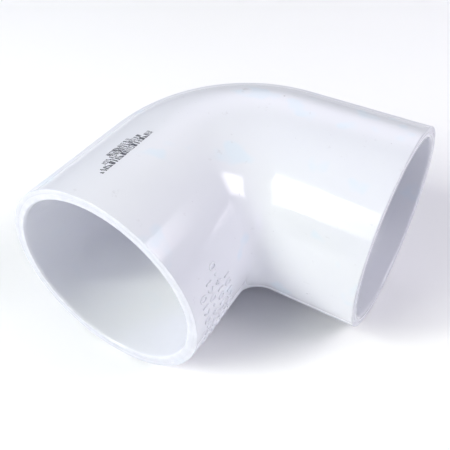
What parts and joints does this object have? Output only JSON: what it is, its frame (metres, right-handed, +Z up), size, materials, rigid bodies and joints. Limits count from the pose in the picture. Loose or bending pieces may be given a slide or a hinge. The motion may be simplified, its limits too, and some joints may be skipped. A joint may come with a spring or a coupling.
{
  "type": "pvc elbow fitting",
  "caption": "Right-angle PVC pressure elbow that joins two pipes with solvent-weld sockets, smooth round bend, raised maker's marks and an ink print on one socket.",
  "frame": {"origin": "on the surface the elbow lies on, under the middle of its bounding box; the two socket axes cross 20.15 mm to -X, 20.15 mm to +Y and 42.2 mm above it", "axes": "+Z up, normal to the plane of the two socket axes; +X the way socket B opens; -Y the way socket A opens"},
  "size_m": [0.1248, 0.1248, 0.0847],
  "materials": {
    "pvc": "glossy moulded white PVC with a faint blue cast",
    "ink": "dry blue-black dot-matrix ink"
  },
  "bodies": {
    "root": {"elbow_body": "pvc", "ink_line_1": "ink", "ink_line_2": "ink", "ink_line_3": "ink"}
  },
  "joints": []
}
